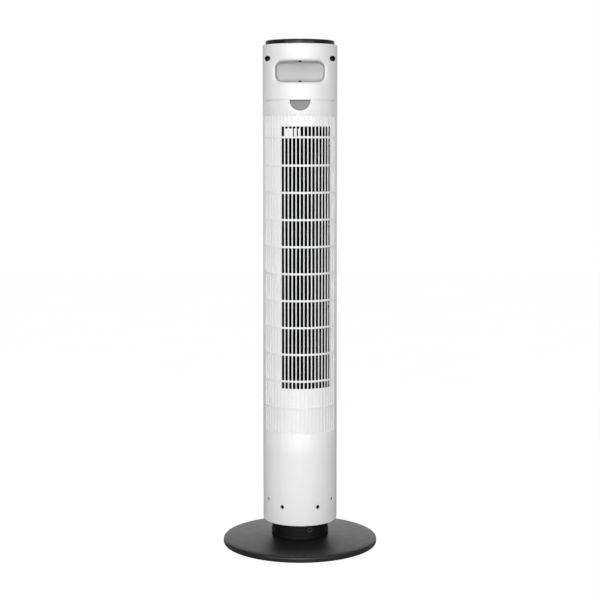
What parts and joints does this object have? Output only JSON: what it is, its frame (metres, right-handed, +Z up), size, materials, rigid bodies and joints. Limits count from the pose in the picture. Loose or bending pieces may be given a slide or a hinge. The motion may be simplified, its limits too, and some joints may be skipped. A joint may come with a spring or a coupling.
{
  "type": "tower fan",
  "caption": "Oscillating tower fan: tall white cylinder with a slotted rear intake, a carry handle and a control top, turning on a short neck above a round black base.",
  "frame": {"origin": "on the floor, under the middle of the round base", "axes": "+Z up along the tower; -Y towards the intake side with the carry handle; +Y towards the air outlet; +X to the right when looking at the intake side"},
  "size_m": [0.314, 0.314, 1.0226],
  "materials": {
    "white_plastic": "smooth white ABS with a soft sheen",
    "black_plastic": "satin black moulded plastic",
    "gloss_black": "polished black plastic",
    "rubber": "matt black rubber",
    "acetal": "natural acetal",
    "zinc_steel": "zinc plated steel",
    "painted_steel": "black painted steel plate",
    "motor_casing": "bare motor casing",
    "sintered_bronze": "oil-filled sintered bronze",
    "circuit_board": "green solder mask",
    "button_grey": "smooth grey key caps"
  },
  "bodies": {
    "base": {"base_cover": "black_plastic", "base_weight": "painted_steel", "rubber_foot_1": "rubber", "rubber_foot_2": "rubber", "rubber_foot_3": "rubber", "rubber_foot_4": "rubber", "rubber_foot_5": "rubber", "neck": "black_plastic", "neck_screw_1": "zinc_steel", "neck_screw_2": "zinc_steel", "neck_screw_3": "zinc_steel", "cord_grommet": "rubber", "gear_ring": "acetal", "swivel_bearing": "acetal"},
    "tower": {"chassis_plate": "black_plastic", "scroll_wall": "black_plastic", "vortex_wall": "black_plastic", "duct_floor": "black_plastic", "duct_ceiling": "black_plastic", "motor_damper": "rubber", "pivot_retainer": "zinc_steel", "housing_screw_1": "zinc_steel", "housing_screw_2": "zinc_steel", "housing_screw_3": "zinc_steel", "housing_screw_4": "zinc_steel", "housing_screw_5": "zinc_steel", "housing_screw_6": "zinc_steel", "grille_screw": "zinc_steel", "handle_screw_1": "zinc_steel", "handle_screw_2": "zinc_steel", "duct_screw_1": "zinc_steel", "duct_screw_2": "zinc_steel", "duct_screw_3": "zinc_steel", "duct_screw_4": "zinc_steel", "rear_housing": "white_plastic", "front_housing": "white_plastic", "rear_grille": "white_plastic", "outlet_grille": "white_plastic", "handle_insert": "white_plastic", "bearing_bracket": "white_plastic", "oscillation_motor": "motor_casing", "fan_motor": "motor_casing", "bearing_bush": "sintered_bronze", "power_board": "circuit_board", "display_board": "circuit_board", "control_board": "circuit_board", "top_panel": "gloss_black", "display_lens": "gloss_black"},
    "fan_wheel": {"impeller": "black_plastic", "motor_shaft": "zinc_steel", "bearing_shaft": "zinc_steel"},
    "pinion": {"drive_pinion": "acetal"},
    "button_1_cap": {"button_1": "button_grey"},
    "button_2_cap": {"button_2": "button_grey"},
    "button_3_cap": {"button_3": "button_grey"},
    "button_4_cap": {"button_4": "button_grey"}
  },
  "joints": [
    {"name": "oscillation", "type": "hinge", "parent": "base", "child": "tower", "pos_m": [0, 0, 0.05], "axis": [0, 0, 1], "range_deg": [-40, 40]},
    {"name": "pinion_turn", "type": "hinge", "parent": "tower", "child": "pinion", "pos_m": [0.0363, 0, 0.0533], "axis": [0, 0, 1], "range_deg": [-200, 200]},
    {"name": "fan_spin", "type": "hinge", "parent": "tower", "child": "fan_wheel", "pos_m": [0.006, 0, 0.565], "axis": [0, 0, 1], "continuous": true},
    {"name": "button_1_press", "type": "slide", "parent": "tower", "child": "button_1_cap", "axis": [0, 0, -1], "range_m": [0, 0.001], "stiffness_N_per_m": 300, "springref_m": -0.001},
    {"name": "button_2_press", "type": "slide", "parent": "tower", "child": "button_2_cap", "axis": [0, 0, -1], "range_m": [0, 0.001], "stiffness_N_per_m": 300, "springref_m": -0.001},
    {"name": "button_3_press", "type": "slide", "parent": "tower", "child": "button_3_cap", "axis": [0, 0, -1], "range_m": [0, 0.001], "stiffness_N_per_m": 300, "springref_m": -0.001},
    {"name": "button_4_press", "type": "slide", "parent": "tower", "child": "button_4_cap", "axis": [0, 0, -1], "range_m": [0, 0.001], "stiffness_N_per_m": 300, "springref_m": -0.001}
  ],
  "couplings": [
    {"joint": "pinion_turn", "follows": "oscillation", "ratio": 5}
  ]
}
